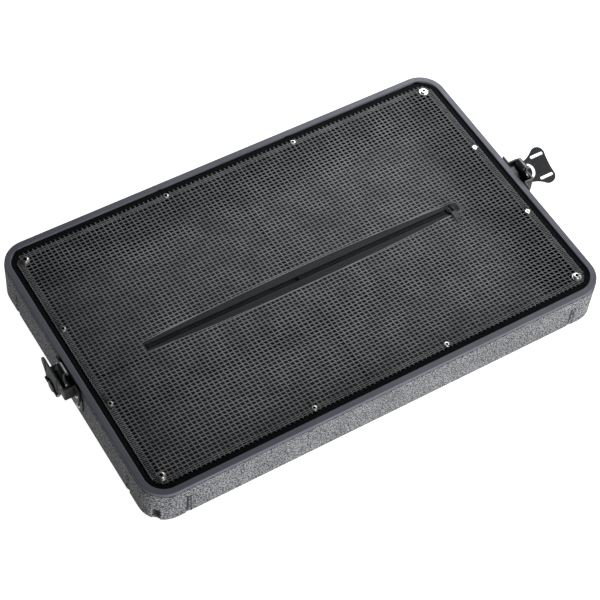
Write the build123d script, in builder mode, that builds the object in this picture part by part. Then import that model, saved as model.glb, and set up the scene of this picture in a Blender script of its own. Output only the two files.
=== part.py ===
"""Lift-off lid of a moulded 19 inch rack case, lying on its outside with its open side up.

The origin is on the surface that the lid lies on, under the middle of its rim.
X runs along the long side, Y along the short side and Z up, all in millimetres.
A moulded shell carries a rim frame, a ledge ring and a zipped net pocket. Each short
side has a butterfly twist latch: a folding wing turns a crank, which moves a hook.
"""

import math
import os

from build123d import *

# Shell: a moulded tray of even wall, with grooves that set off its corners
length = 561.0
width = 354.0
corner_radius = 30.0
shell_wall = 4.5
shell_top = 49.0
bottom_radius = 6.0
panel_length = 236.0
panel_width = 136.0
panel_gap = 16.0
panel_depth = 4.0
panel_radius = 10.0
groove_radius = 3.7
groove_depth = 2.5
groove_top = 33.0
groove_from_end = 42.0
groove_from_side = 51.0
notch_radius = 6.0
notch_depth = 4.0
notch_top = 18.0

# Rim frame: a closed extrusion that caps the shell's wall
rim_top = 54.0
rim_width = 7.0
rim_setback = 0.5
rim_leg_bottom = 36.0
rim_foot = 3.4
rim_foot_thick = 2.8
rim_edge_radius = 0.8
fit_gap = 0.2

# Ledge ring: the shelf that the net is screwed to
ledge_width = 14.0
ledge_thick = 3.0
boss_depth = 14.0
corner_boss_radius = 5.5
edge_boss_radius = 4.0

# Net pocket and its screws
net_drop = 1.8
net_thick = 0.8
net_inset = 14.5
net_corner_radius = 14.0
net_border = 9.0
net_strand = 2.6
net_columns = 22
net_rows_far = 7
net_rows_near = 6
corner_screw_x = 256.4
corner_screw_y = 152.1
long_screw_x = 81.8
long_screw_y = 158.1
short_screw_x = 261.2
short_screw_y = 52.8
corner_head_radius = 4.0
corner_head_height = 2.2
corner_shank_radius = 1.9
edge_head_radius = 3.2
edge_head_height = 1.8
edge_shank_radius = 1.4
screw_length = 12.0
washer_radius = 5.4
washer_thick = 0.8
recess_width = 1.0
recess_share = 0.62
recess_depth = 1.2
thread_gap = 0.05

# Zip fastener, sewn under the net along a slit
zip_y = -8.0
zip_half_length = 196.0
zip_tape_width = 13.4
zip_tape_thick = 0.7
zip_slit = 1.0
zip_sewn = 1.7
zip_coil_width = 2.4
zip_coil_height = 1.7
zip_coil_edge = 0.5
zip_stop_length = 3.0
slider_length = 11.0
slider_width = 9.6
slider_plate = 1.1
slider_web = 0.4
slider_clear = 0.3
slider_corner = 2.6
crown_height = 3.0
crown_width = 7.0
crown_wire = 1.1
puller_length = 20.0
puller_width = 6.4
puller_window = 4.6
puller_bar = 0.5
puller_hole = 1.2

# Latch plate and bridge: out is the distance from the shell's wall, up is along Z
plate_half_width = 30.0
plate_bottom = 15.0
plate_thick = 1.6
plate_chamfer = 7.0
rivet_y = 21.0
rivet_low_z = 22.0
rivet_high_z = 42.0
rivet_shank = 1.9
rivet_head = 3.4
rivet_head_height = 1.4
rivet_head_taper = 35.0
rivet_tail = 3.0
rivet_tail_height = 1.2
backing_half_width = 27.0
backing_height = 13.0
backing_thick = 1.5
hub_z = 44.0
bridge_height = 18.0
bridge_inner = 15.4
bridge_foot = 9.5
bridge_thick = 1.6
bridge_corner = 1.4
pad_half_width = 12.5
pad_bottom = 34.0

# Hook: a flat plate with a curled top and a slot that the crank's pin moves in
hook_out = 8.8
hook_thick = 2.0
hook_half_width = 13.0
hook_neck = 7.2
hook_reach = 15.0
hook_curl_radius = 3.2
hook_lip = 2.6
hook_foot = 8.0
hook_shoulder = 8.0
hook_corner = 2.0

# Crank and wing
run_gap = 0.3
crank_throw = 4.0
crank_pin = 2.4
crank_play = 1.0
crank_disc = 8.0
crank_disc_thick = 1.5
spindle_radius = 4.5
bearing_gap = 0.06
drum_radius = 6.8
drum_chamfer = 0.8
pin_out = 19.5
pin_radius = 1.5
pin_gap = 0.08
pin_cover = 2.5
wing_lobe_u = 13.2
wing_lobe_v = 20.9
wing_lobe_radius = 9.1
wing_waist_v = 29.0
wing_tip_u = 13.2
wing_side_u = 15.1
wing_side_v = 6.6
wing_shoulder = 40.0
wing_arc_radius = 9.6
wing_thick = 1.6
wing_slot_v = 19.3
wing_slot_length = 17.9
wing_slot_width = 3.4
knuckle_radius = 2.8
knuckle_gap = 0.4

# Rest pose of each latch in degrees: twist about the spindle, raise of the wing off the wall
RIGHT = 1
LEFT = -1
twist = {RIGHT: 25.0, LEFT: 0.0}
raised = {RIGHT: 90.0, LEFT: 0.0}
side_name = {RIGHT: "right", LEFT: "left"}

# Levels and places worked out from the sizes above
net_top = rim_top - net_drop
net_bottom = net_top - net_thick
ledge_bottom = net_bottom - ledge_thick
inner_floor = shell_wall
panel_floor = panel_depth + shell_wall
leg_outset = shell_wall + rim_setback + fit_gap
rim_inner = rim_setback + rim_width
ledge_outer = rim_inner + fit_gap
ledge_inner = ledge_outer + ledge_width
zip_slot_half = zip_slit / 2 + zip_tape_width - zip_sewn
tape_middle = net_bottom - zip_tape_thick / 2
coil_outer = zip_slit / 2 + zip_coil_width
slider_half_height = zip_coil_height / 2 + slider_clear + slider_plate
slider_x = zip_half_length - zip_stop_length - slider_length / 2 - slider_clear
puller_z = tape_middle + slider_half_height + (crown_height - crown_wire) / 2
puller_angle = math.degrees(math.asin((puller_z - puller_bar - net_top - fit_gap) / puller_length))
disc_out = hook_out + hook_thick + run_gap
bridge_out = disc_out + crank_disc_thick + run_gap
drum_out = bridge_out + bridge_thick + run_gap
drum_end = pin_out + pin_cover
signs = [(s, t) for s in (-1, 1) for t in (-1, 1)]
corner_screws = [(s * corner_screw_x, t * corner_screw_y) for s, t in signs]
edge_screws = (
    [(s * long_screw_x, t * long_screw_y) for s, t in signs]
    + [(s * short_screw_x, t * short_screw_y) for s, t in signs]
)


def save(part, name):
    """Labels a finished piece and writes it as one STEP file."""
    part.label = name
    export_step(part, f"parts/{name}.step")


def outline(inset):
    """Draws the lid's rounded outline, drawn in by inset, in the open sketch."""
    RectangleRounded(length - 2 * inset, width - 2 * inset, corner_radius - inset)


def band(outer_inset, inner_inset, low, high):
    """Extrudes the band between two insets of the outline, in the open part."""
    with BuildSketch(Plane.XY.offset(low)) as ring:
        outline(outer_inset)
        with BuildSketch(Plane.XY.offset(low), mode=Mode.PRIVATE) as hole:
            outline(inner_inset)
        add(hole.sketch_local, mode=Mode.SUBTRACT)
    extrude(ring.sketch, amount=high - low)


def wall_plane(side, out=0.0):
    """A plane along a short wall: x along the wall, y up, normal out of the shell."""
    return Plane(origin=(side * (length / 2 + out), 0, 0), x_dir=(0, side, 0), z_dir=(side, 0, 0))


def section_plane(side):
    """The plane y = 0 seen from the side: x out of the shell's wall, y up."""
    return Plane(origin=(side * length / 2, 0, 0), x_dir=(side, 0, 0), z_dir=(0, -side, 0))


def rivet_spots():
    """Centres of the four rivets in the wall plane."""
    return [(s * rivet_y, z) for s in (-1, 1) for z in (rivet_low_z, rivet_high_z)]


def hook_drop(side):
    """How far the crank's rest twist has drawn the hook from its highest place."""
    return 2 * crank_throw * twist[side] / 180


def build_shell():
    """The moulded tray: even wall, four raised floor panels, corner grooves and rivet holes."""
    with BuildPart() as shell:
        with BuildSketch():
            outline(0)
        extrude(amount=shell_top)
        fillet(shell.edges().group_by(Axis.Z)[0], bottom_radius)
        with BuildSketch(Plane.XY.offset(inner_floor)):
            outline(shell_wall)
        extrude(amount=shell_top - inner_floor, mode=Mode.SUBTRACT)
        with BuildSketch(Plane.XY.offset(inner_floor)):
            with GridLocations(panel_length + panel_gap, panel_width + panel_gap, 2, 2):
                RectangleRounded(panel_length, panel_width, panel_radius)
        extrude(amount=panel_floor - inner_floor)
        with BuildSketch():
            with GridLocations(panel_length + panel_gap, panel_width + panel_gap, 2, 2):
                RectangleRounded(panel_length - 2 * shell_wall, panel_width - 2 * shell_wall,
                                 panel_radius - shell_wall)
        extrude(amount=panel_depth, mode=Mode.SUBTRACT)
        outward = groove_radius - groove_depth
        grooves = [(s * (length / 2 - groove_from_end), t * (width / 2 + outward)) for s, t in signs]
        grooves += [(s * (length / 2 + outward), t * (width / 2 - groove_from_side)) for s, t in signs]
        with BuildSketch():
            with Locations(*grooves):
                Circle(groove_radius)
        extrude(amount=groove_top, mode=Mode.SUBTRACT)
        with Locations(*[(x, y, groove_top) for x, y in grooves]):
            Sphere(groove_radius, mode=Mode.SUBTRACT)
        reach = (corner_radius + notch_radius - notch_depth) * math.sqrt(0.5) - corner_radius
        notches = [(s * (length / 2 + reach), t * (width / 2 + reach)) for s, t in signs]
        with BuildSketch():
            with Locations(*notches):
                Circle(notch_radius)
        extrude(amount=notch_top, mode=Mode.SUBTRACT)
        with Locations(*[(x, y, notch_top) for x, y in notches]):
            Sphere(notch_radius, mode=Mode.SUBTRACT)
        for side in (LEFT, RIGHT):
            with BuildSketch(wall_plane(side)):
                with Locations(*rivet_spots()):
                    Circle(rivet_shank + thread_gap)
            extrude(amount=-shell_wall, mode=Mode.SUBTRACT)
    return shell.part


def build_rim_frame():
    """The rim: a flat cap, a leg inside the shell's wall and a foot under the ledge ring."""
    with BuildPart() as rim:
        band(rim_setback, rim_inner, shell_top, rim_top)
        fillet(rim.edges().group_by(Axis.Z)[-1], rim_edge_radius)
        band(leg_outset, rim_inner, rim_leg_bottom, shell_top)
        band(rim_inner, rim_inner + rim_foot, ledge_bottom - rim_foot_thick, ledge_bottom)
        for side in (LEFT, RIGHT):
            with BuildSketch(wall_plane(side)):
                with Locations(*[(s * rivet_y, rivet_high_z) for s in (-1, 1)]):
                    Circle(rivet_shank + thread_gap)
            extrude(amount=-rim_inner, mode=Mode.SUBTRACT)
    return rim.part


def build_net_ledge():
    """The shelf round the opening, with a screw boss under each of the net's screws."""
    with BuildPart() as ledge:
        band(ledge_outer, ledge_inner, ledge_bottom, net_bottom)
        for places, radius in ((corner_screws, corner_boss_radius), (edge_screws, edge_boss_radius)):
            with BuildSketch(Plane.XY.offset(net_bottom)):
                with Locations(*places):
                    Circle(radius)
            extrude(amount=-boss_depth)
        for places, radius in ((corner_screws, corner_shank_radius), (edge_screws, edge_shank_radius)):
            with BuildSketch(Plane.XY.offset(net_bottom)):
                with Locations(*places):
                    Circle(radius + thread_gap)
            extrude(amount=-screw_length, mode=Mode.SUBTRACT)
    return ledge.part


def net_gaps():
    """Centre and size of each gap: full rows on both sides of the zip, short ones past its ends."""
    half_x = length / 2 - net_inset - net_border
    half_y = width / 2 - net_inset - net_border
    pitch_x = (2 * half_x + net_strand) / net_columns
    columns = [-half_x - net_strand / 2 + pitch_x * (i + 0.5) for i in range(net_columns)]
    far_low = zip_y + zip_slot_half + net_strand
    near_high = zip_y - zip_slot_half - net_strand
    gaps = []
    for low, high, rows in ((far_low, half_y, net_rows_far), (-half_y, near_high, net_rows_near)):
        pitch_y = (high - low + net_strand) / rows
        for row in range(rows):
            y = low - net_strand / 2 + pitch_y * (row + 0.5)
            gaps += [(x, y, pitch_x - net_strand, pitch_y - net_strand) for x in columns]
    ends = [x for x in columns if abs(x) - pitch_x / 2 > zip_half_length + zip_stop_length]
    gaps += [(x, zip_y, pitch_x - net_strand, 2 * zip_slot_half) for x in ends]
    return gaps


def build_net():
    """The net: one sheet, with its gaps, the slit for the zip and the screws' holes."""
    corner_reach = corner_screw_x - corner_boss_radius, corner_screw_y - corner_boss_radius
    with BuildPart() as net:
        with BuildSketch(Plane.XY.offset(net_bottom)):
            RectangleRounded(length - 2 * net_inset, width - 2 * net_inset, net_corner_radius)
            for x, y, gap_x, gap_y in net_gaps():
                if abs(x) + gap_x / 2 < corner_reach[0] or abs(y) + gap_y / 2 < corner_reach[1]:
                    with Locations((x, y)):
                        Rectangle(gap_x, gap_y, mode=Mode.SUBTRACT)
            with Locations((0, zip_y)):
                Rectangle(2 * zip_half_length, 2 * zip_slot_half, mode=Mode.SUBTRACT)
            with Locations(*corner_screws):
                Circle(corner_shank_radius + fit_gap, mode=Mode.SUBTRACT)
            with Locations(*edge_screws):
                Circle(edge_shank_radius + fit_gap, mode=Mode.SUBTRACT)
        extrude(amount=net_thick)
    return net.part


def build_screws(places, head, head_height, shank, seat):
    """Pan-head cross-recess screws, one solid for each place."""
    with BuildPart() as screws:
        for x, y in places:
            with BuildSketch(Plane.XY.offset(seat)):
                with Locations((x, y)):
                    Circle(head)
            extrude(amount=head_height)
        rims = screws.edges().filter_by(GeomType.CIRCLE).group_by(Axis.Z)[-1]
        fillet(rims, head_height * recess_share)
        with BuildSketch(Plane.XY.offset(seat)):
            with Locations(*places):
                Circle(shank)
        extrude(amount=net_bottom - screw_length - seat)
        with BuildSketch(Plane.XY.offset(seat + head_height)):
            with Locations(*places):
                Rectangle(2 * head * recess_share, recess_width)
                Rectangle(recess_width, 2 * head * recess_share)
        extrude(amount=-recess_depth, mode=Mode.SUBTRACT)
    return screws.part


def build_washers():
    """Four cup washers under the corner screws."""
    with BuildPart() as washers:
        with BuildSketch(Plane.XY.offset(net_top)):
            with Locations(*corner_screws):
                Circle(washer_radius)
                Circle(corner_shank_radius + fit_gap, mode=Mode.SUBTRACT)
        extrude(amount=washer_thick)
        chamfer(washers.edges().group_by(Axis.Z)[-1].group_by(Edge.length)[-1], washer_thick / 2)
    return washers.part


def build_zip_tape(side):
    """One woven tape of the zip: side is +1 for the far tape, -1 for the near one."""
    with BuildPart() as tape:
        with BuildSketch(Plane.XY.offset(net_bottom - zip_tape_thick)):
            with Locations((0, zip_y + side * (zip_slit + zip_tape_width) / 2)):
                Rectangle(2 * (zip_half_length + zip_sewn), zip_tape_width)
            with Locations((0, zip_y + side * (zip_slit / 2 + zip_coil_width / 2))):
                Rectangle(2 * zip_half_length, zip_coil_width, mode=Mode.SUBTRACT)
        extrude(amount=zip_tape_thick)
    return tape.part


def build_zip_coil(side):
    """One row of teeth, as a bar in the tape's edge."""
    with BuildPart() as coil:
        with BuildSketch(Plane.YZ.offset(-zip_half_length + zip_stop_length)):
            with Locations((zip_y + side * (zip_slit + zip_coil_width) / 2, tape_middle)):
                RectangleRounded(zip_coil_width, zip_coil_height, zip_coil_edge)
        extrude(amount=2 * (zip_half_length - zip_stop_length))
    return coil.part


def build_zip_stops():
    """The two clamps that close the ends of the zip."""
    with BuildPart() as stops:
        for s in (-1, 1):
            with BuildSketch(Plane.YZ.offset(s * (zip_half_length - zip_stop_length / 2))):
                with Locations((zip_y, tape_middle)):
                    Rectangle(2 * coil_outer, zip_coil_height)
            extrude(amount=zip_stop_length / 2, both=True)
    return stops.part


def build_zip_slider():
    """The slider: two plates joined by a web, side flanges and a crown loop on top."""
    with BuildPart() as slider:
        with BuildSketch(Plane.XY.offset(tape_middle - slider_half_height)):
            with Locations((slider_x, zip_y)):
                RectangleRounded(slider_length, slider_width, slider_corner)
        extrude(amount=2 * slider_half_height)
        with BuildSketch(Plane.YZ.offset(slider_x)):
            channel = zip_slit / 2 + zip_coil_width + slider_clear - slider_web / 2
            for s in (-1, 1):
                with Locations((zip_y + s * (slider_web + channel) / 2, tape_middle)):
                    Rectangle(channel, zip_coil_height + 2 * slider_clear)
                with Locations((zip_y + s * slider_width / 2, tape_middle)):
                    Rectangle(slider_width, zip_tape_thick + 2 * slider_clear)
            with Locations((zip_y, tape_middle)):
                Rectangle(slider_web, zip_coil_height + 2 * slider_clear, mode=Mode.SUBTRACT)
        extrude(amount=slider_length, both=True, mode=Mode.SUBTRACT)
        with BuildSketch(Plane.YZ.offset(slider_x)):
            with Locations((zip_y, tape_middle + slider_half_height + crown_height / 2)):
                Rectangle(crown_width, crown_height)
                Rectangle(crown_width - 2 * crown_wire, crown_height - 2 * crown_wire,
                          mode=Mode.SUBTRACT)
            with Locations((zip_y, tape_middle + slider_half_height + crown_wire / 2)):
                Rectangle(crown_width - 2 * crown_wire, crown_wire, mode=Mode.SUBTRACT)
        extrude(amount=crown_wire / 2, both=True)
    return slider.part


def build_zip_puller():
    """The pull tab: a bar under the crown, a window round the crown's near post, a long grip."""
    flat = Plane(origin=(slider_x, zip_y, puller_z), x_dir=(1, 0, 0), z_dir=(0, 0, 1))
    with BuildPart() as puller:
        with BuildSketch(flat.rotated((puller_angle, 0, 0))):
            with Locations((0, (puller_bar - puller_length) / 2)):
                Rectangle(puller_width, puller_length + puller_bar)
            with Locations((0, -puller_bar - puller_window / 2)):
                Rectangle(puller_width - 4 * puller_bar, puller_window, mode=Mode.SUBTRACT)
            with Locations((0, -puller_length + puller_width / 2)):
                Circle(puller_hole, mode=Mode.SUBTRACT)
        extrude(amount=puller_bar, both=True)
        fillet(puller.edges().filter_by(tab_corner), puller_bar)
    return puller.part


def tab_corner(edge):
    """True for the short edges at the far end of the pull tab."""
    far = zip_y - puller_length + puller_bar
    return edge.length < 2 * puller_bar + fit_gap and edge.center().Y < far


def build_latch_plate(side):
    """The base plate, riveted flat on the short wall."""
    height = shell_top - plate_bottom
    with BuildPart() as plate:
        with BuildSketch(wall_plane(side)) as face:
            with Locations((0, plate_bottom + height / 2)):
                Rectangle(2 * plate_half_width, height)
            chamfer(face.vertices(), plate_chamfer)
            with Locations(*rivet_spots()):
                Circle(rivet_shank + thread_gap, mode=Mode.SUBTRACT)
        extrude(amount=plate_thick)
    return plate.part


def build_latch_backing(side):
    """The strip inside the wall that the lower rivets pull against."""
    with BuildPart() as backing:
        with BuildSketch(wall_plane(side, -shell_wall)):
            with Locations((0, rivet_low_z)):
                Rectangle(2 * backing_half_width, backing_height)
            with Locations(*[(s * rivet_y, rivet_low_z) for s in (-1, 1)]):
                Circle(rivet_shank + thread_gap, mode=Mode.SUBTRACT)
        extrude(amount=-backing_thick)
    return backing.part


def build_latch_rivets(side):
    """Four rivets: the upper pair holds the bridge too, the lower pair the backing strip."""
    levels = {
        rivet_low_z: (plate_thick, -shell_wall - backing_thick),
        rivet_high_z: (plate_thick + bridge_thick, -rim_inner),
    }
    with BuildPart() as rivets:
        for y, z in rivet_spots():
            seat, tail = levels[z]
            with BuildSketch(wall_plane(side, seat)):
                with Locations((y, z)):
                    Circle(rivet_head)
            extrude(amount=rivet_head_height, taper=rivet_head_taper)
            with BuildSketch(wall_plane(side, tail)):
                with Locations((y, z)):
                    Circle(rivet_shank)
            extrude(amount=seat - tail)
            with BuildSketch(wall_plane(side, tail)):
                with Locations((y, z)):
                    Circle(rivet_tail)
            extrude(amount=-rivet_tail_height)
    return rivets.part


def build_latch_bridge(side):
    """The strap over the hook: two feet on the plate, two legs and a bearing for the spindle."""
    outer = bridge_inner + bridge_thick
    front = bridge_out + bridge_thick
    with BuildPart() as bridge:
        with BuildSketch(Plane.XY.offset(hub_z - bridge_height / 2)):
            for s in (-1, 1):
                with Locations((side * (length / 2 + plate_thick + (front - plate_thick) / 2),
                                s * (bridge_inner + bridge_thick / 2))):
                    Rectangle(front - plate_thick, bridge_thick)
                with Locations((side * (length / 2 + plate_thick + bridge_thick / 2),
                                s * (outer + bridge_foot / 2 - bridge_thick / 2))):
                    Rectangle(bridge_thick, bridge_foot + bridge_thick)
            with Locations((side * (length / 2 + bridge_out + bridge_thick / 2), 0)):
                Rectangle(bridge_thick, 2 * outer)
        extrude(amount=bridge_height)
        fillet(bridge.edges().filter_by(Axis.Z).group_by(Axis.X)[-1 if side == RIGHT else 0],
               bridge_corner)
        with BuildSketch(wall_plane(side)):
            with Locations((0, hub_z)):
                Circle(spindle_radius + bearing_gap)
            with Locations(*[(s * rivet_y, rivet_high_z) for s in (-1, 1)]):
                Circle(rivet_shank + thread_gap)
        extrude(amount=front + run_gap, mode=Mode.SUBTRACT)
    return bridge.part


def build_slide_pad(side):
    """The low-friction pad on the plate that the hook slides on."""
    with BuildPart() as pad:
        with BuildSketch(wall_plane(side, plate_thick)):
            with Locations((0, (pad_bottom + shell_top) / 2)):
                RectangleRounded(2 * pad_half_width, shell_top - pad_bottom, hook_corner)
        extrude(amount=hook_out - run_gap - plate_thick)
    return pad.part


def build_hook(side):
    """The hook: a slotted foot behind the crank, a neck and a top curled over the rim's side."""
    slot_z = hub_z + crank_throw - hook_drop(side)
    top = rim_top + hook_reach - hook_drop(side)
    curl_z = top - hook_curl_radius
    curl_out = hook_out + hook_thick - hook_curl_radius
    slot_half = crank_throw + crank_pin + crank_play
    slot_height = 2 * (crank_pin + crank_play)
    with BuildPart() as hook:
        with BuildSketch(wall_plane(side, hook_out)) as face:
            with Locations((0, slot_z + (hook_shoulder - hook_foot) / 2)):
                RectangleRounded(2 * hook_half_width, hook_foot + hook_shoulder, hook_corner)
            with Locations((0, (slot_z + curl_z) / 2)):
                Rectangle(2 * hook_neck, curl_z - slot_z)
            with Locations((0, slot_z)):
                SlotOverall(2 * slot_half, slot_height, mode=Mode.SUBTRACT)
        extrude(amount=hook_thick)
        with BuildSketch(section_plane(side)):
            with Locations((curl_out, curl_z)):
                Circle(hook_curl_radius)
                Circle(hook_curl_radius - hook_thick, mode=Mode.SUBTRACT)
            with Locations((curl_out, curl_z - hook_curl_radius)):
                Rectangle(3 * hook_curl_radius, 2 * hook_curl_radius, mode=Mode.SUBTRACT)
            with Locations((curl_out - hook_curl_radius + hook_thick / 2, curl_z - hook_lip / 2)):
                Rectangle(hook_thick, hook_lip)
        extrude(amount=hook_neck, both=True)
    return hook.part


def build_crank(side):
    """The crank: an eccentric pin, a disc, the spindle in its bearing and the drum outside."""
    angle = math.radians(twist[side])
    pin_place = (-crank_throw * math.sin(angle), hub_z + crank_throw * math.cos(angle))
    with BuildPart() as crank:
        with BuildSketch(wall_plane(side, hook_out + run_gap / 2)):
            with Locations(pin_place):
                Circle(crank_pin)
        extrude(amount=disc_out - hook_out)
        for start, end, radius in ((disc_out, bridge_out - run_gap, crank_disc),
                                   (disc_out, drum_end, spindle_radius),
                                   (drum_out, drum_end, drum_radius)):
            with BuildSketch(wall_plane(side, start)):
                with Locations((0, hub_z)):
                    Circle(radius)
            extrude(amount=end - start)
        face = crank.faces().sort_by(Axis.X)[-1 if side == RIGHT else 0]
        chamfer(face.edges(), drum_chamfer)
        with BuildSketch(pin_plane(side)):
            Circle(pin_radius + pin_gap)
        extrude(amount=drum_radius, both=True, mode=Mode.SUBTRACT)
    return crank.part


def wing_plane(side):
    """The wing's plane: x along its hinge, y out to its lobes, at the rest twist and raise."""
    turn = math.radians(twist[side])
    lift = math.radians(raised[side])
    along = (0, side * math.cos(turn), math.sin(turn))
    normal = (side * math.cos(lift), side * math.sin(turn) * math.sin(lift),
              -math.cos(turn) * math.sin(lift))
    return Plane(origin=(side * (length / 2 + pin_out), 0, hub_z), x_dir=along, z_dir=normal)


def pin_plane(side):
    """A plane across the wing's hinge pin, at the middle of the pin."""
    flat = wing_plane(side)
    return Plane(origin=flat.origin, x_dir=flat.z_dir, z_dir=flat.x_dir)


def build_wing(side):
    """The butterfly plate: two slotted lobes, a gap for the drum and two hinge knuckles."""
    turn = math.radians(wing_shoulder)
    shoulder = (wing_lobe_u + wing_lobe_radius * math.cos(turn),
                wing_lobe_v - wing_lobe_radius * math.sin(turn))
    crest = (wing_lobe_u, wing_lobe_v + wing_lobe_radius)
    inner = drum_radius + knuckle_gap
    with BuildPart() as wing:
        with BuildSketch(wing_plane(side)):
            with BuildLine():
                Line((-wing_tip_u, 0), (wing_tip_u, 0))
                ThreePointArc((wing_tip_u, 0), (wing_side_u, wing_side_v), shoulder)
                Line(shoulder, crest)
                ThreePointArc(crest, (0, wing_waist_v), (-crest[0], crest[1]))
                Line((-crest[0], crest[1]), (-shoulder[0], shoulder[1]))
                ThreePointArc((-shoulder[0], shoulder[1]), (-wing_side_u, wing_side_v),
                              (-wing_tip_u, 0))
            make_face()
            with Locations((-wing_lobe_u, wing_lobe_v), (wing_lobe_u, wing_lobe_v)):
                Circle(wing_lobe_radius)
            with Locations((-wing_lobe_u, wing_slot_v), (wing_lobe_u, wing_slot_v)):
                SlotOverall(wing_slot_length, wing_slot_width, rotation=90, mode=Mode.SUBTRACT)
            Circle(wing_arc_radius, mode=Mode.SUBTRACT)
        extrude(amount=wing_thick / 2, both=True)
        with BuildSketch(pin_plane(side)):
            Circle(knuckle_radius)
        extrude(amount=wing_tip_u, both=True)
        with BuildSketch(pin_plane(side)):
            Circle(knuckle_radius + knuckle_gap)
        extrude(amount=inner, both=True, mode=Mode.SUBTRACT)
        with BuildSketch(pin_plane(side)):
            Circle(pin_radius)
        extrude(amount=wing_tip_u, both=True, mode=Mode.SUBTRACT)
    return wing.part


def build_wing_pin(side):
    """The hinge pin, fixed in the wing's knuckles and turning in the drum."""
    with BuildPart() as pin:
        with BuildSketch(pin_plane(side)):
            Circle(pin_radius)
        extrude(amount=wing_tip_u, both=True)
    return pin.part


os.makedirs("parts", exist_ok=True)
save(build_shell(), "shell")
save(build_rim_frame(), "rim_frame")
save(build_net_ledge(), "net_ledge")
save(build_net(), "net")
washer_top = net_top + washer_thick
save(build_screws(corner_screws, corner_head_radius, corner_head_height, corner_shank_radius,
                  washer_top), "corner_screws")
save(build_screws(edge_screws, edge_head_radius, edge_head_height, edge_shank_radius,
                  net_top), "edge_screws")
save(build_washers(), "corner_washers")
for tape_side, tape_name in ((1, "far"), (-1, "near")):
    save(build_zip_tape(tape_side), f"zip_tape_{tape_name}")
    save(build_zip_coil(tape_side), f"zip_coil_{tape_name}")
save(build_zip_stops(), "zip_end_stops")
save(build_zip_slider(), "zip_slider")
save(build_zip_puller(), "zip_puller")
for latch_side in (LEFT, RIGHT):
    prefix = side_name[latch_side]
    save(build_latch_plate(latch_side), f"{prefix}_latch_plate")
    save(build_latch_backing(latch_side), f"{prefix}_latch_backing")
    save(build_latch_rivets(latch_side), f"{prefix}_latch_rivets")
    save(build_latch_bridge(latch_side), f"{prefix}_latch_bridge")
    save(build_slide_pad(latch_side), f"{prefix}_slide_pad")
    save(build_hook(latch_side), f"{prefix}_hook")
    save(build_crank(latch_side), f"{prefix}_crank")
    save(build_wing(latch_side), f"{prefix}_wing")
    save(build_wing_pin(latch_side), f"{prefix}_wing_pin")
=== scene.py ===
"""The looks of a moulded rack case lid with a zipped net pocket and two butterfly latches.

Everything is in metres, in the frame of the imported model. New pieces are surfaces worked out
with numpy on grids; each function's docstring gives its formula in words.
"""

import math

import bpy
import numpy as np
from mathutils import Matrix, Vector


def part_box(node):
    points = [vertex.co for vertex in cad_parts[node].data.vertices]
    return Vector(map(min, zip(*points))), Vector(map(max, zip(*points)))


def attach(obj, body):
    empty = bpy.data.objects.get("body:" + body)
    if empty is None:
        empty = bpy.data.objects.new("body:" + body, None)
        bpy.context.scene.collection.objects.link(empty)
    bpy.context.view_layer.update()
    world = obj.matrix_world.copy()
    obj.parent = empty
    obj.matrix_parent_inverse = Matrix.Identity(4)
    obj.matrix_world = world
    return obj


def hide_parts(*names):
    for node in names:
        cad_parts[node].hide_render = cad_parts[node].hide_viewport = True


MM = 0.001

# Camera: the photograph's viewing angle, solved from the rim's corners
VIEW_AZIMUTH = math.radians(-35.704)
VIEW_ELEVATION = math.radians(54.268)
VIEW_ROLL = math.radians(5.721)
VIEW_DISTANCE = 1977.334 * MM
AIM_ACROSS = 3.215 * MM
AIM_UP = 34.767 * MM
LENS = 110.02
SENSOR = 36.0

# Shell: what tells its inside from its outside
SHELL_CORNER = 30.0 * MM
SHELL_WALL = 4.5 * MM
SHELL_FLOOR_MIDDLE = 4.25 * MM

# Net: pitch and size of its threads, its hem, the binding of its slit, the shade painted on its edges
PITCH_ACROSS = 5.4 * MM
PITCH_ALONG = 4.5 * MM
THREAD_HALF_WIDTH = 0.34 * MM
THREAD_HALF_THICK = 0.46 * MM
KNOT_HALF_WIDTH = 0.5 * MM
LINK_HALF_WIDTH = 0.3 * MM
KNOT_REACH = 0.3
KNOT_LEAN = 0.42 * MM
THREAD_WANDER = 0.16 * MM
NET_CORNER = 14.0 * MM
EDGE_BAND = 6.8 * MM
HEM_WIDTH = 8.0 * MM
SLIT_END_HALF = 6.6 * MM
BINDING_HALF_WIDTH = 0.42 * MM
BINDING_HALF_THICK = 0.38 * MM
BINDING_SIDES = 8
BINDING_STEPS = 60
NEARLY_NOTHING = 1e-9
SHORTEST_RUN = 1e-7
# where the painted shade on the net's edges fades in, and how dark it gets at the short and long edges
SHADE_FADE_ALONG = (160.0 * MM, 245.0 * MM)
SHADE_FADE_ACROSS = (110.0 * MM, 155.0 * MM)
SHORT_EDGE_SHADE = 0.55
LONG_EDGE_SHADE = 0.65

# Zip: woven tapes, coiled teeth, seams
ZIP_SEWN = 1.7 * MM
TAPE_RIB_PITCH = 1.1 * MM
TAPE_RIB_HEIGHT = 0.1 * MM
TAPE_STEP = 2.0 * MM
TAPE_POINTS_PER_RIB = 6
TAPE_SHORT_RIPPLE = (0.12 * MM, 9 * MM)
TAPE_LONG_RIPPLE = (0.1 * MM, 23 * MM)
TAPE_RIPPLE_TOP = 0.05 * MM
TWILL_PITCH = 0.9 * MM
TOOTH_PITCH = 1.6 * MM
TOOTH_WIRE = 0.32 * MM
TOOTH_STEPS = 10
TOOTH_SIDES = 5
STITCH_PITCH = 3.0 * MM
STITCH_LENGTH = 2.3 * MM
STITCH_HALF_WIDTH = 0.28 * MM
STITCH_HEIGHT = 0.26 * MM
STITCH_INSET = 2.6 * MM
STITCH_ENDS = (0.08, 0.92)
STITCH_RINGS = 5
STITCH_SIDES = 6
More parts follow.
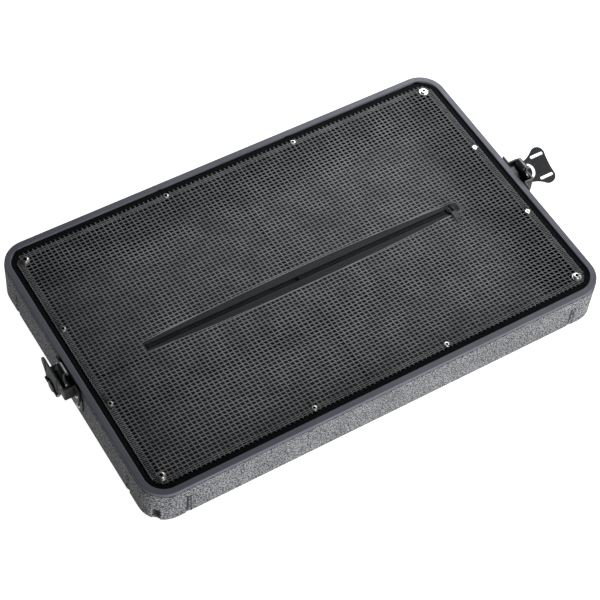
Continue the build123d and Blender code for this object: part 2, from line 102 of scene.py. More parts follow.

# Screws: where they stand, how far their cross recess reaches, how wide the painted shade at their
# middle is
CORNER_SCREW = (256.4 * MM, 152.1 * MM)
LONG_EDGE_SCREW = (81.8 * MM, 158.1 * MM)
SHORT_EDGE_SCREW = (261.2 * MM, 52.8 * MM)
CORNER_RECESS = 2.6 * MM
EDGE_RECESS = 2.1 * MM
CORNER_SHADE_DISC = 1.9 * MM
EDGE_SHADE_DISC = 1.5 * MM
RECESS_LIP = 0.25 * MM

# Studio: each light's place, aim, size and power, and how strongly floor and surround shine on
# the lid, where the camera itself sees them at 1
KEY_LIGHT = ((0.6, 0.48, 0.66), (0.0, 0.0, 0.03), 0.3, 8.8)
FRONT_LIGHT = ((0.25, -1.7, 0.26), (0.0, -0.1, 0.03), 0.4, 29.0)
SURROUND_ON_LID = 0.02
FLOOR_ON_LID = 0.6
FLOOR_HALF = 12.0
CLIP_END = 100.0

# Materials: the part of a noise's values that is spread over a finish
SPREAD = (0.3, 0.7)
RANDOM_SEED = 7


def mesh_piece(name, points, faces, body, material):
    """Makes one smooth piece from an array of points and a list of face arrays, and lets it ride
    on a body."""
    used = np.unique(np.concatenate([f.ravel() for f in faces]))
    place = np.full(len(points), -1)
    place[used] = np.arange(len(used))
    corners = np.concatenate([place[f].ravel() for f in faces])
    sizes = np.concatenate([np.full(len(f), f.shape[1]) for f in faces])
    starts = np.concatenate([[0], np.cumsum(sizes)[:-1]])
    mesh = bpy.data.meshes.new(name)
    mesh.vertices.add(len(used))
    mesh.vertices.foreach_set("co", points[used].astype(np.float32).ravel())
    mesh.loops.add(len(corners))
    mesh.loops.foreach_set("vertex_index", corners.astype(np.int32))
    mesh.polygons.add(len(sizes))
    mesh.polygons.foreach_set("loop_start", starts.astype(np.int32))
    mesh.polygons.foreach_set("loop_total", sizes.astype(np.int32))
    mesh.update(calc_edges=True)
    mesh.validate()
    mesh.polygons.foreach_set("use_smooth", np.full(len(mesh.polygons), True))
    mesh.materials.append(material)
    piece = bpy.data.objects.new(name, mesh)
    bpy.context.scene.collection.objects.link(piece)
    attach(piece, body)
    return piece


def tubes(rings, keep):
    """Faces of many tubes at once: rings is (tubes, rings, sides, 3), each ring counter-clockwise
    about the tube's direction. A wall joins ring j to ring j + 1 where keep[tube, j] is true, and
    the first and last kept ring of every run of walls is closed with a cap."""
    count, length, sides = rings.shape[:3]
    index = np.arange(count * length * sides).reshape(count, length, sides)
    near, far = index[:, :-1], index[:, 1:]
    walls = np.stack([near, np.roll(near, -1, 2), np.roll(far, -1, 2), far], -1)[keep].reshape(-1, 4)
    padded = np.pad(keep, ((0, 0), (1, 1)))
    starts = padded[:, 1:] & ~padded[:, :-1]
    ends = padded[:, :-1] & ~padded[:, 1:]
    return [walls, index[starts][:, ::-1], index[ends]]


def loop_tube(path, outward, section):
    """A closed loop of tube: each point of the section, (out, up), is carried along the path, out
    along its outward direction and up along Z. Returns the points and the faces."""
    rings = (
        path[:, None]
        + outward[:, None] * section[None, :, :1]
        + np.array([0.0, 0.0, 1.0]) * section[None, :, 1:]
    )
    index = np.arange(len(path) * len(section)).reshape(len(path), len(section))
    far = np.roll(index, -1, 0)
    walls = np.stack([index, np.roll(index, -1, 1), np.roll(far, -1, 1), far], -1)
    return rings.reshape(-1, 3), [walls[..., ::-1].reshape(-1, 4)]


def lens_half(x, half_x, half_y):
    """Half the width of the slit, which is a lens: it falls from half_y in the middle, as the
    square of x, to SLIT_END_HALF at its ends."""
    return SLIT_END_HALF + (half_y - SLIT_END_HALF) * (1.0 - (x / half_x) ** 2)


def lens_loop(half_x, half_y, centre, step_count):
    """Points and outward directions round the slit: its near edge from left to right and its far
    edge back again, each a shallow parabola."""
    x = np.linspace(-half_x, half_x, step_count)
    y = lens_half(x, half_x, half_y)
    near = np.stack([x, -y, 0 * x], -1)
    path = np.concatenate([near, (near * [1, -1, 1])[::-1]])
    out = path * [0.0, 1.0, 0.0]
    out[[0, -1]] += [-SLIT_END_HALF, 0.0, 0.0]
    out[[step_count - 1, step_count]] += [SLIT_END_HALF, 0.0, 0.0]
    return np.array(centre) + path, out / np.linalg.norm(out, axis=1)[:, None]


def oval(half_out, half_up, sides):
    """A section with its points on an ellipse."""
    angle = np.arange(sides) * 2 * math.pi / sides
    return np.stack([half_out * np.cos(angle), half_up * np.sin(angle)], -1)


def reach(lines, half_along, half_across, radius):
    """How far a thread at each line runs either way before it meets the net's rounded outline."""
    over = np.clip(np.abs(lines) - (half_across - radius), 0.0, radius)
    return half_along - radius + np.sqrt(radius**2 - over**2)


def thread_runs(places, limit, middle, half):
    """Which stretches of each thread are there: inside the outline, and outside a cut that reaches
    half each way from its middle, where half is one number per thread, and 0 for no cut. Returns
    the places of the rings, moved to the ends of their run, and which walls are kept."""
    there = np.clip(places[None], -limit[:, None], limit[:, None])
    low, high = (middle - half)[:, None], (middle + half)[:, None]
    inside = (there > low) & (there < high)
    there = np.where(inside, np.where(there < middle, low, high), there)
    gap = there[:, 1:] - there[:, :-1]
    from_low, to_high = there[:, :-1] >= low - NEARLY_NOTHING, there[:, 1:] <= high + NEARLY_NOTHING
    over_cut = (half > 0)[:, None] & from_low & to_high
    return there, (gap > SHORTEST_RUN) & ~over_cut


def slit_half_across(x, half_x, half_y):
    """How far the slit reaches across at a distance x along it, and 0 past its ends."""
    return np.where(np.abs(x) < half_x, lens_half(x, half_x, half_y), 0.0)


def slit_half_along(y, half_x, half_y):
    """The same lens the other way round: how far the slit reaches along X at a distance y from
    its middle line."""
    share = np.clip((half_y - np.abs(y)) / (half_y - SLIT_END_HALF), 0.0, 1.0)
    return half_x * np.sqrt(share)


def thread_rings(along, across, height, half_width, direction):
    """Rings of four corners round each thread, half_width either way across and
    THREAD_HALF_THICK up and down. direction is 0 for threads along X and 1 for threads along Y."""
    corners = np.array([[1, 1], [-1, 1], [-1, -1], [1, -1]], float)
    side = 1.0 if direction == 0 else -1.0
    wide = across[..., None] + side * corners[:, 0] * half_width[..., None]
    up = height[..., None] + corners[:, 1] * THREAD_HALF_THICK
    run = np.broadcast_to(along[..., None], wide.shape)
    parts = (run, wide, up) if direction == 0 else (wide, run, up)
    return np.stack(parts, -1)


def row_threads(half_x, half_y, middle_z, rows, cut, random):
    """The threads along X, one at each row: each runs straight, with a small wander that is drawn
    anew at every column. The cut is its middle and its half length per thread."""
    crossings = np.arange(-half_x + PITCH_ACROSS / 2, half_x, PITCH_ACROSS)
    places = np.concatenate([[-half_x], crossings, [half_x]])
    along, keep = thread_runs(places, reach(rows, half_x, half_y, NET_CORNER), *cut)
    across = rows[:, None] + THREAD_WANDER * random.standard_normal(along.shape)
    height = np.full(along.shape, middle_z)
    rings = thread_rings(along, across, height, np.full(along.shape, THREAD_HALF_WIDTH), 0)
    return rings.reshape(-1, 3), tubes(rings, keep)


def column_threads(half_x, half_y, middle_z, columns, cut, random):
    """The threads along Y, one at each column: each leans one way before a crossing and back after
    it, and its width goes from the knot's to the link's with the square of a random number."""
    crossings = np.arange(-half_y + PITCH_ALONG / 2, half_y, PITCH_ALONG)
    knots = (crossings[:, None] + KNOT_REACH * PITCH_ALONG * np.array([-1.0, 1.0])).ravel()
    places = np.concatenate([[-half_y], knots, [half_y]])
    along, keep = thread_runs(places, reach(columns, half_y, half_x, NET_CORNER), *cut)
    lean = np.concatenate([[0.0], np.tile([-KNOT_LEAN, KNOT_LEAN], len(crossings)), [0.0]])
    wander = THREAD_WANDER * random.standard_normal(along.shape)
    across = columns[:, None] + lean[None] + wander
    width = KNOT_HALF_WIDTH + (LINK_HALF_WIDTH - KNOT_HALF_WIDTH) * random.random(along.shape) ** 2
    height = np.full(along.shape, middle_z + THREAD_HALF_THICK / 3)
    rings = thread_rings(along, across, height, width, 1)
    return rings.reshape(-1, 3), tubes(rings, keep)


def make_net(looks):
    """The net with a thread along each short edge, the extra rows of its hem, and the binding of the
    slit for the zip."""
    low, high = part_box("net")
    half_x, half_y = (high.x - low.x) / 2, (high.y - low.y) / 2
    middle_z = (low.z + high.z) / 2
    _, far_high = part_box("zip_tape_far")
    near_low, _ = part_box("zip_tape_near")
    slit_y = (near_low.y + far_high.y) / 2
    slit_half_y = (far_high.y - near_low.y) / 2 - ZIP_SEWN
    slit_half_x = far_high.x

    random = np.random.default_rng(RANDOM_SEED)
    rows = np.arange(-half_y + PITCH_ALONG / 2, half_y, PITCH_ALONG)
    count = int(2 * (half_x - EDGE_BAND) / PITCH_ACROSS) + 1
    columns = (np.arange(count) - (count - 1) / 2) * PITCH_ACROSS
    edge = half_x - THREAD_HALF_WIDTH
    columns = np.concatenate([[-edge], columns, [edge]])
    row_cut = (0.0, slit_half_along(rows - slit_y, slit_half_x, slit_half_y))
    column_cut = (slit_y, slit_half_across(columns, slit_half_x, slit_half_y))
    row_points, row_faces = row_threads(half_x, half_y, middle_z, rows, row_cut, random)
    points, faces = column_threads(half_x, half_y, middle_z, columns, column_cut, random)
    faces = row_faces + [f + len(row_points) for f in faces]
    points = np.concatenate([row_points, points])
    net = mesh_piece("net_threads", points, faces, "lid", looks["net"])
    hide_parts("net")

    rows = rows[:-1] + PITCH_ALONG / 2
    hem_cut = (0.0, np.where(np.abs(rows) < half_y - HEM_WIDTH, half_x - EDGE_BAND, 0.0))
    points, faces = row_threads(half_x, half_y, middle_z, rows, hem_cut, random)
    hem = mesh_piece("net_hem", points, faces, "lid", looks["net"])

    section = oval(BINDING_HALF_WIDTH, BINDING_HALF_THICK, BINDING_SIDES)
    path, outward = lens_loop(slit_half_x, slit_half_y, (0.0, slit_y, middle_z), BINDING_STEPS)
    points, faces = loop_tube(path, outward, section)
    slit = mesh_piece("net_slit_binding", points, faces, "lid", looks["net"])


def make_zip_tape(node, side, looks):
    """A woven tape: its section is flat below and has ribs along its length above, the height
    being half a thickness plus a small cosine across, and the whole rises and falls a little."""
    low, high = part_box(node)
    inner = low.y if side > 0 else high.y
    width = high.y - low.y
    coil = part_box(node.replace("tape", "coil"))
    start = (coil[1].y - inner) if side > 0 else (inner - coil[0].y)
    count = TAPE_POINTS_PER_RIB * round((width - start) / TAPE_RIB_PITCH)
    out = np.linspace(start, width, count)
    middle, half = (low.z + high.z) / 2, (high.z - low.z) / 2
    rib = TAPE_RIB_HEIGHT * np.cos(2 * math.pi * (out - start) / TAPE_RIB_PITCH)
    top = np.stack([out, half - TAPE_RIB_HEIGHT + rib], -1)
    section = np.concatenate([top, [[width, -half]], [[start, -half]]])
    steps = len(np.arange(low.x, high.x + TAPE_STEP / 2, TAPE_STEP))
    along = np.linspace(low.x, high.x, steps)
    (short_rise, short_run), (long_rise, long_run) = TAPE_SHORT_RIPPLE, TAPE_LONG_RIPPLE
    ripple = short_rise * np.sin(along / short_run) + long_rise * np.sin(along / long_run + side)
    lift = np.where(section[:, 1] > 0, 1.0, 0.0)
    shape = (len(along), len(section))
    x = np.broadcast_to(along[:, None], shape)
    y = np.broadcast_to(inner + side * section[None, :, 0], shape)
    z = middle + section[None, :, 1] + np.minimum(ripple, TAPE_RIPPLE_TOP)[:, None] * lift[None]
    rings = np.stack([x, y, z], -1)[None]
    if side > 0:
        rings = rings[:, :, ::-1]
    faces = tubes(rings, np.ones((1, len(along) - 1), bool))
    tape = mesh_piece(node + "_weave", rings.reshape(-1, 3), faces, "lid", looks["tape"])
    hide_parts(node)


def make_zip_teeth(node, side, looks):
    """One row of coiled teeth: a helix about X on an ellipse that fills the tooth row's box."""
    low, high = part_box(node)
    centre_y, centre_z = (low.y + high.y) / 2, (low.z + high.z) / 2
    half_y, half_z = (high.y - low.y) / 2 - TOOTH_WIRE, (high.z - low.z) / 2 - TOOTH_WIRE
    turns = int((high.x - low.x - 2 * TOOTH_WIRE) / TOOTH_PITCH)
    angle = np.arange(turns * TOOTH_STEPS + 1) * 2 * math.pi / TOOTH_STEPS
    begin = low.x + (high.x - low.x - turns * TOOTH_PITCH) / 2
    x = begin + angle * TOOTH_PITCH / (2 * math.pi) + side * TOOTH_PITCH / 8
    out = np.stack([0 * angle, side * np.cos(angle), np.sin(angle)], -1)
    y = centre_y + side * half_y * np.cos(angle)
    z = centre_z + half_z * np.sin(angle)
    centre = np.stack([x, y, z], -1)
    spin = np.arange(TOOTH_SIDES) * 2 * math.pi / TOOTH_SIDES
    lean = np.array([1.0, 0.0, 0.0])
    wire = TOOTH_WIRE * (np.cos(spin)[None, :, None] * out[:, None] + np.sin(spin)[None, :, None] * lean)
    rings = (centre[:, None] + wire)[None]
    if side > 0:
        rings = rings[:, :, ::-1]
    faces = tubes(rings, np.ones((1, len(angle) - 1), bool))
    teeth = mesh_piece(node + "_teeth", rings.reshape(-1, 3), faces, "lid", looks["teeth"])
    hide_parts(node)


def make_stitches(looks):
    """Two seams beside the zip: each stitch is a low bead, widest and highest in its middle, with
    its width and height following a half sine along it."""
    far_low, far_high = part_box("zip_tape_far")
    near_low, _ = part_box("zip_tape_near")
    start = np.arange(far_low.x + STITCH_PITCH, far_high.x - STITCH_PITCH, STITCH_PITCH)
    seams = np.array([far_high.y - ZIP_SEWN - STITCH_INSET, near_low.y + ZIP_SEWN + STITCH_INSET])
    x, y = (a.ravel() for a in np.meshgrid(start, seams))
    t = np.linspace(*STITCH_ENDS, STITCH_RINGS)
    swell = np.sin(math.pi * t)
    section = oval(1.0, 1.0, STITCH_SIDES)
    run = x[:, None] + t[None] * STITCH_LENGTH
    across = np.broadcast_to(y[:, None], run.shape)
    centre = np.stack([run, across, np.full(run.shape, far_high.z)], -1)
    offset_y = STITCH_HALF_WIDTH * swell[:, None] * section[None, :, 0]
    offset_z = STITCH_HEIGHT * swell[:, None] * section[None, :, 1]
    offset = np.stack([0 * offset_y, offset_y, offset_z], -1)
    rings = centre[:, :, None] + offset[None]
    faces = tubes(rings, np.ones((len(x), STITCH_RINGS - 1), bool))
    mesh_piece("zip_seams", rings.reshape(-1, 3), faces, "lid", looks["seam"])


class Surface:
    """A material under construction: its node tree, its shader and short ways to add and join nodes."""

    def __init__(self, name, colour, roughness, metallic=0.0, sheen=0.0, specular=0.5):
        self.material = bpy.data.materials.new(name)
        self.material.use_nodes = True
        self.tree = self.material.node_tree
        self.shader = self.tree.nodes["Principled BSDF"]
        self.shader.inputs["Base Color"].default_value = (*colour, 1.0)
        self.shader.inputs["Roughness"].default_value = roughness
        self.shader.inputs["Metallic"].default_value = metallic
        self.shader.inputs["Sheen Weight"].default_value = sheen
        self.shader.inputs["Specular IOR Level"].default_value = specular
        self.place = self.node("ShaderNodeTexCoord").outputs["Object"]

    def node(self, kind, settings=(), **inputs):
        made = self.tree.nodes.new(kind)
        for key, value in dict(settings).items():
            setattr(made, key, value)
        for key, value in inputs.items():
            self.feed(made.inputs[key.replace("_", " ")], value)
        return made

    def feed(self, socket, value):
        if isinstance(value, bpy.types.NodeSocket):
            self.tree.links.new(value, socket)
        else:
            socket.default_value = value

    def maths(self, operation, *values):
        made = self.tree.nodes.new("ShaderNodeMath")
        made.operation = operation
        for socket, value in zip(made.inputs, values):
            self.feed(socket, value)
        return made.outputs[0]

    def noise(self, scale, detail=2.0, roughness=0.5):
        made = self.node("ShaderNodeTexNoise", Vector=self.place, Scale=scale, Detail=detail)
        made.inputs["Roughness"].default_value = roughness
        return made.outputs["Fac"]

    def ramp(self, value, low, high, clear=(0.0, 1.0)):
        """A value taken from clear[0]..clear[1] to low..high, and held at the ends."""
        made = self.node("ShaderNodeMapRange", Value=value)
        for key, number in zip(("From Min", "From Max", "To Min", "To Max"), (*clear, low, high)):
            self.feed(made.inputs[key], number)
        return made.outputs["Result"]

    def blend(self, share, first, second):
        made = self.node("ShaderNodeMix", {"data_type": "RGBA"})
        self.feed(made.inputs["Factor"], share)
        self.feed(made.inputs[6], first if isinstance(first, bpy.types.NodeSocket) else (*first, 1.0))
        self.feed(made.inputs[7], second if isinstance(second, bpy.types.NodeSocket) else (*second, 1.0))
        return made.outputs[2]

    def dim(self, colour, share):
        """A colour multiplied by a share."""
        made = self.node("ShaderNodeVectorMath", {"operation": "SCALE"}, Vector=colour, Scale=share)
        return made.outputs[0]

    def axes(self):
        made = self.node("ShaderNodeSeparateXYZ", Vector=self.place)
        return made.outputs["X"], made.outputs["Y"], made.outputs["Z"]

    def colour(self, value):
        self.feed(self.shader.inputs["Base Color"], value)

    def rough(self, value):
        self.feed(self.shader.inputs["Roughness"], value)

    def bump(self, height, distance, strength):
        made = self.node("ShaderNodeBump", Height=height, Distance=distance, Strength=strength)
        self.tree.links.new(made.outputs["Normal"], self.shader.inputs["Normal"])

    def near(self, spots, radius):
        """1 within radius of the spots and of their mirror images in X and Y, otherwise 0."""
        x, y, _ = self.axes()
        away = None
        for spot_x, spot_y in spots:
            side = self.maths("SUBTRACT", self.maths("ABSOLUTE", x), spot_x)
            front = self.maths("SUBTRACT", self.maths("ABSOLUTE", y), spot_y)
            squares = self.maths("POWER", side, 2.0), self.maths("POWER", front, 2.0)
            gap = self.maths("SQRT", self.maths("ADD", *squares))
            away = gap if away is None else self.maths("MINIMUM", away, gap)
        return self.maths("LESS_THAN", away, radius)


def shell_finish():
    """Outside, a haircell grain: light grains over darker pits, cloudy on a larger scale. Inside,
    the same sheet is smooth and nearly black."""
    _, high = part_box("shell")
    s = Surface("moulded_shell_grained", (0.2, 0.2, 0.21), 0.6, specular=0.12)
    x, y, z = s.axes()
    over_x = s.maths("MAXIMUM", s.maths("SUBTRACT", s.maths("ABSOLUTE", x), high.x - SHELL_CORNER), 0.0)
    over_y = s.maths("MAXIMUM", s.maths("SUBTRACT", s.maths("ABSOLUTE", y), high.y - SHELL_CORNER), 0.0)
    away = s.maths("SQRT", s.maths("ADD", s.maths("POWER", over_x, 2.0), s.maths("POWER", over_y, 2.0)))
    within = s.maths("LESS_THAN", away, SHELL_CORNER - SHELL_WALL / 2)
    inside = s.maths("MULTIPLY", within, s.maths("GREATER_THAN", z, SHELL_FLOOR_MIDDLE))

    grain = s.noise(560.0, 3.0, 0.62)
    pits = s.ramp(grain, 0.0, 1.0, (0.43, 0.57))
    cloud = s.ramp(s.noise(30.0, 2.0), 0.86, 1.12, SPREAD)
    speck = s.blend(pits, (0.02, 0.021, 0.023), (0.31, 0.315, 0.33))
    outside = s.dim(speck, cloud)
    drift = s.ramp(s.noise(90.0, 3.0), 0.0, 1.0, (0.35, 0.7))
    dust = s.blend(drift, (0.036, 0.037, 0.039), (0.052, 0.053, 0.056))
    s.colour(s.blend(inside, outside, dust))
    s.rough(s.ramp(inside, 0.6, 0.9))
    depth = s.maths("MULTIPLY", grain, s.ramp(inside, 1.0, 0.12))
    s.bump(depth, 0.9 * MM, 0.9)
    return s.material


def rim_finish():
    """Slate-grey satin enamel on metal, with faint marks along it and small dull patches."""
    s = Surface("rim_slate_satin", (0.1, 0.102, 0.12), 0.55, specular=0.2)
    patch = s.ramp(s.noise(14.0, 3.0), 0.0, 1.0, (0.35, 0.65))
    s.colour(s.blend(patch, (0.11, 0.114, 0.14), (0.127, 0.131, 0.159)))
    s.rough(s.ramp(s.noise(70.0, 4.0, 0.65), 0.5, 0.64, SPREAD))
    s.bump(s.noise(900.0, 2.0), 0.06 * MM, 0.4)
    return s.material


def plastic_finish(name, dark, light, roughness, specular=0.3):
    """Plain moulded plastic with a slight mottling and a fine grain."""
    s = Surface(name, dark, roughness, specular=specular)
    s.colour(s.blend(s.noise(60.0, 3.0), dark, light))
    s.rough(s.ramp(s.noise(240.0, 2.0), roughness - 0.06, roughness + 0.1, SPREAD))
    s.bump(s.noise(1400.0, 2.0), 0.08 * MM, 0.5)
    return s.material


def net_finish():
    """Nylon thread: grey with lighter patches, and a fine twist in its relief. Its tone falls
    towards the edges as the picture's does, which is shading painted in to match, not a
    property known of the thread."""
    s = Surface("net_nylon_thread", (0.12, 0.123, 0.13), 0.6, sheen=0.1, specular=0.25)
    fibre = s.noise(2600.0, 2.0)
    tone = s.ramp(s.noise(35.0, 2.0), 0.0, 1.0, SPREAD)
    thread = s.blend(tone, (0.24, 0.246, 0.26), (0.36, 0.368, 0.385))
    x, y, _ = s.axes()
    side = s.ramp(s.maths("ABSOLUTE", x), 1.0, SHORT_EDGE_SHADE, SHADE_FADE_ALONG)
    front = s.ramp(s.maths("ABSOLUTE", y), 1.0, LONG_EDGE_SHADE, SHADE_FADE_ACROSS)
    # painted shade: the thread colour is dimmed towards the net's edges
    s.colour(s.dim(thread, s.maths("MINIMUM", side, front)))
    s.rough(s.ramp(fibre, 0.42, 0.62, SPREAD))
    s.bump(fibre, 0.1 * MM, 0.6)
    return s.material


def tape_finish():
    """Twill tape: fine slanted ribs that change their slant at every second rib, near black."""
    s = Surface("zip_tape_twill", (0.03, 0.031, 0.034), 0.8, sheen=0.1, specular=0.2)
    x, y, _ = s.axes()
    fold = s.maths("PINGPONG", y, 2 * TAPE_RIB_PITCH)
    slant = s.maths("ADD", x, fold)
    rib = s.maths("SINE", s.maths("MULTIPLY", slant, 2 * math.pi / TWILL_PITCH))
    share = s.ramp(rib, 0.0, 1.0, (-1.0, 1.0))
    s.colour(s.blend(share, (0.014, 0.0145, 0.016), (0.062, 0.064, 0.068)))
    s.bump(s.maths("ADD", share, s.maths("MULTIPLY", s.noise(1800.0), 0.5)), 0.15 * MM, 0.8)
    return s.material


def enamel_finish(name, dark, light, roughness, specular):
    """Black enamel on steel: a soft mottling, fine orange peel and rougher patches."""
    s = Surface(name, dark, roughness, specular=specular)
    s.colour(s.blend(s.ramp(s.noise(120.0, 3.0), 0.0, 1.0, SPREAD), dark, light))
    s.rough(s.ramp(s.noise(300.0, 3.0), roughness - 0.07, roughness + 0.1, SPREAD))
    s.bump(s.noise(1100.0, 2.0), 0.07 * MM, 0.5)
    return s.material


def screw_finish(name, node, spots, recess, shade_disc):
    """Bright nickel with fine turning marks. Down in the cross recess, and in a disc round its middle,
    it is painted dark and dull: painted shade, put on to match the picture."""
    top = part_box(node)[1].z
    s = Surface(name, (0.6, 0.59, 0.57), 0.32, metallic=1.0)
    _, _, z = s.axes()
    down = s.maths("LESS_THAN", z, top - RECESS_LIP)
    cross = s.maths("MULTIPLY", down, s.near(spots, recess))
    painted_shade = s.maths("MAXIMUM", cross, s.near(spots, shade_disc))
    # painted shade: the cross recess and the disc round each screw's middle are coloured near black
    s.colour(s.blend(painted_shade, (0.62, 0.61, 0.59), (0.012, 0.012, 0.014)))
    s.rough(s.ramp(painted_shade, 0.32, 0.8))
    s.bump(s.noise(1500.0, 3.0), 0.05 * MM, 0.4)
    return s.material


def steel_finish(name, colour, roughness):
    """Plated steel: even, with faint cloudy dull patches."""
    s = Surface(name, colour, roughness, metallic=1.0)
    dull = tuple(0.8 * c for c in colour)
    s.colour(s.blend(s.ramp(s.noise(160.0, 3.0), 0.0, 1.0, SPREAD), dull, colour))
    s.rough(s.ramp(s.noise(400.0, 3.0), roughness - 0.05, roughness + 0.12, SPREAD))
    s.bump(s.noise(1600.0, 2.0), 0.04 * MM, 0.4)
    return s.material


def make_looks():
    """Every finish of the lid, by a short name."""
    edges = (LONG_EDGE_SCREW, SHORT_EDGE_SCREW)
    return {
        "shell": shell_finish(),
        "rim": rim_finish(),
        "ledge": plastic_finish(
            "ledge_black_plastic", (0.004, 0.0043, 0.005), (0.008, 0.0086, 0.01), 0.85, 0.05
        ),
        "net": net_finish(),
        "tape": tape_finish(),
        "teeth": plastic_finish(
            "zip_tooth_nylon", (0.006, 0.006, 0.007), (0.014, 0.014, 0.016), 0.5, 0.12
        ),
        "seam": plastic_finish("zip_seam_thread", (0.03, 0.031, 0.034), (0.06, 0.062, 0.066), 0.6),
        "puller": enamel_finish(
            "zip_puller_enamel", (0.06, 0.062, 0.067), (0.08, 0.082, 0.089), 0.6, 0.15
        ),
        "zip_metal": enamel_finish(
            "zip_slider_enamel", (0.006, 0.006, 0.007), (0.013, 0.013, 0.015), 0.6, 0.12
        ),
        "corner_screw": screw_finish(
            "corner_screw_nickel", "corner_screws", (CORNER_SCREW,), CORNER_RECESS, CORNER_SHADE_DISC
        ),
        "edge_screw": screw_finish("edge_screw_nickel", "edge_screws", edges, EDGE_RECESS, EDGE_SHADE_DISC),
        "washer": steel_finish("cup_washer_nickel", (0.55, 0.54, 0.52), 0.34),
        "rivet": steel_finish("latch_rivet_zinc", (0.62, 0.62, 0.63), 0.26),
        "backing": steel_finish("backing_strip_zinc", (0.45, 0.46, 0.48), 0.4),
        "latch": enamel_finish(
            "latch_black_enamel", (0.01, 0.011, 0.012), (0.022, 0.023, 0.026), 0.4, 0.3
        ),
        "wing": enamel_finish(
            "wing_black_enamel", (0.026, 0.028, 0.031), (0.036, 0.038, 0.042), 0.5, 0.25
        ),
        "hook": enamel_finish(
            "hook_black_enamel", (0.03, 0.031, 0.035), (0.045, 0.047, 0.053), 0.42, 0.9
        ),
        "pin": steel_finish("latch_pin_steel", (0.5, 0.5, 0.51), 0.3),
        "pad": plastic_finish("slide_pad_nylon", (0.012, 0.012, 0.013), (0.022, 0.022, 0.024), 0.5),
    }


def dress_nodes(nodes, looks):
    """Gives each carried-over CAD node its finish."""
    plain = {
        "shell": "shell",
        "rim_frame": "rim",
        "net_ledge": "ledge",
        "corner_screws": "corner_screw",
        "edge_screws": "edge_screw",
        "corner_washers": "washer",
        "zip_end_stops": "zip_metal",
        "zip_slider": "zip_metal",
        "zip_puller": "puller",
    }
    latch = {
        "latch_plate": "latch",
        "latch_backing": "backing",
        "latch_rivets": "rivet",
        "latch_bridge": "latch",
        "slide_pad": "pad",
        "hook": "hook",
        "crank": "latch",
        "wing": "wing",
        "wing_pin": "pin",
    }
    for side in ("left", "right"):
        plain.update({f"{side}_{piece}": finish for piece, finish in latch.items()})
    for node, finish in plain.items():
        mesh = nodes[node].data
        mesh.materials.clear()
        mesh.materials.append(looks[finish])


def make_camera(rim_top):
    """The camera looks at the rim's middle from an azimuth and an elevation, rolled, with its aim
    moved a little across and up in its own picture plane."""
    az, el, roll = VIEW_AZIMUTH, VIEW_ELEVATION, VIEW_ROLL
    back = Vector((math.sin(az) * math.cos(el), -math.cos(az) * math.cos(el), math.sin(el)))
    level = Vector((math.cos(az), math.sin(az), 0.0))
    upright = back.cross(level)
    right = level * math.cos(roll) + upright * math.sin(roll)
    up = upright * math.cos(roll) - level * math.sin(roll)
    data = bpy.data.cameras.new("camera")
    data.lens = LENS
    data.sensor_width = SENSOR
    data.clip_end = CLIP_END
    camera = bpy.data.objects.new("camera", data)
    bpy.context.scene.collection.objects.link(camera)
    place = Vector((0.0, 0.0, rim_top)) + VIEW_DISTANCE * back - AIM_ACROSS * right - AIM_UP * up
    turn = Matrix((right, up, back)).transposed().to_4x4()
    camera.matrix_world = Matrix.Translation(place) @ turn
    bpy.context.scene.camera = camera


def make_light(name, place, aim, size, power):
    """A square soft light at a place, turned to face its aim."""
    data = bpy.data.lights.new(name, "AREA")
    data.shape = "SQUARE"
    data.size = size
    data.energy = power
    light = bpy.data.objects.new(name, data)
    bpy.context.scene.collection.objects.link(light)
    light.location = place
    light.rotation_euler = (Vector(aim) - Vector(place)).to_track_quat("-Z", "Y").to_euler()


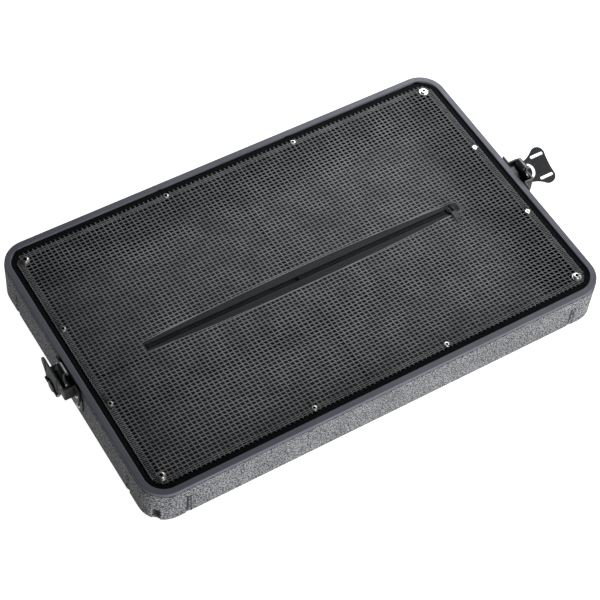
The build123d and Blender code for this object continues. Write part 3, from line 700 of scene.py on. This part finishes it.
def make_studio():
    """A key light high over the far right corner, a low light in front of the near side, and a
    floor and a surround that are white to the camera and dimmer to the lid."""
    make_light("key_light", *KEY_LIGHT)
    make_light("front_light", *FRONT_LIGHT)
    world = bpy.data.worlds.new("surround")
    bpy.context.scene.world = world
    world.use_nodes = True
    tree = world.node_tree
    glow = tree.nodes["Background"]
    glow.inputs["Color"].default_value = (1.0, 1.0, 1.0, 1.0)
    seen = tree.nodes.new("ShaderNodeLightPath")
    strength = tree.nodes.new("ShaderNodeMapRange")
    strength.inputs["To Min"].default_value = SURROUND_ON_LID
    strength.inputs["To Max"].default_value = 1.0
    tree.links.new(seen.outputs["Is Camera Ray"], strength.inputs["Value"])
    tree.links.new(strength.outputs["Result"], glow.inputs["Strength"])

    floor_finish = Surface("studio_floor", (0.5, 0.5, 0.5), 0.9)
    floor_finish.shader.inputs["Emission Color"].default_value = (1.0, 1.0, 1.0, 1.0)
    seen = floor_finish.node("ShaderNodeLightPath").outputs["Is Camera Ray"]
    shine = floor_finish.ramp(seen, FLOOR_ON_LID, 1.0)
    floor_finish.feed(floor_finish.shader.inputs["Emission Strength"], shine)
    mesh = bpy.data.meshes.new("studio_floor")
    corners = [(-FLOOR_HALF, -FLOOR_HALF, 0), (FLOOR_HALF, -FLOOR_HALF, 0)]
    corners += [(FLOOR_HALF, FLOOR_HALF, 0), (-FLOOR_HALF, FLOOR_HALF, 0)]
    mesh.from_pydata(corners, [], [(0, 1, 2, 3)])
    mesh.materials.append(floor_finish.material)
    floor = bpy.data.objects.new("studio_floor", mesh)
    bpy.context.scene.collection.objects.link(floor)
    bpy.context.scene.view_settings.view_transform = "Standard"


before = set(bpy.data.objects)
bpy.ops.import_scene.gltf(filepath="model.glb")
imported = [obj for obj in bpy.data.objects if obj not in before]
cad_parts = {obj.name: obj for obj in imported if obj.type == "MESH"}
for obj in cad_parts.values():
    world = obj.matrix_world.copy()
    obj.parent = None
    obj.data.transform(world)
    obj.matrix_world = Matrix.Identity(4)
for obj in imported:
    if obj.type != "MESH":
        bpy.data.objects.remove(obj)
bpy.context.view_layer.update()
finishes = make_looks()
dress_nodes(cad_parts, finishes)
make_camera(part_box("rim_frame")[1].z)
make_studio()
make_net(finishes)
for tape_node, tape_side in (("zip_tape_far", 1), ("zip_tape_near", -1)):
    make_zip_tape(tape_node, tape_side, finishes)
    make_zip_teeth(tape_node.replace("tape", "coil"), tape_side, finishes)
make_stitches(finishes)
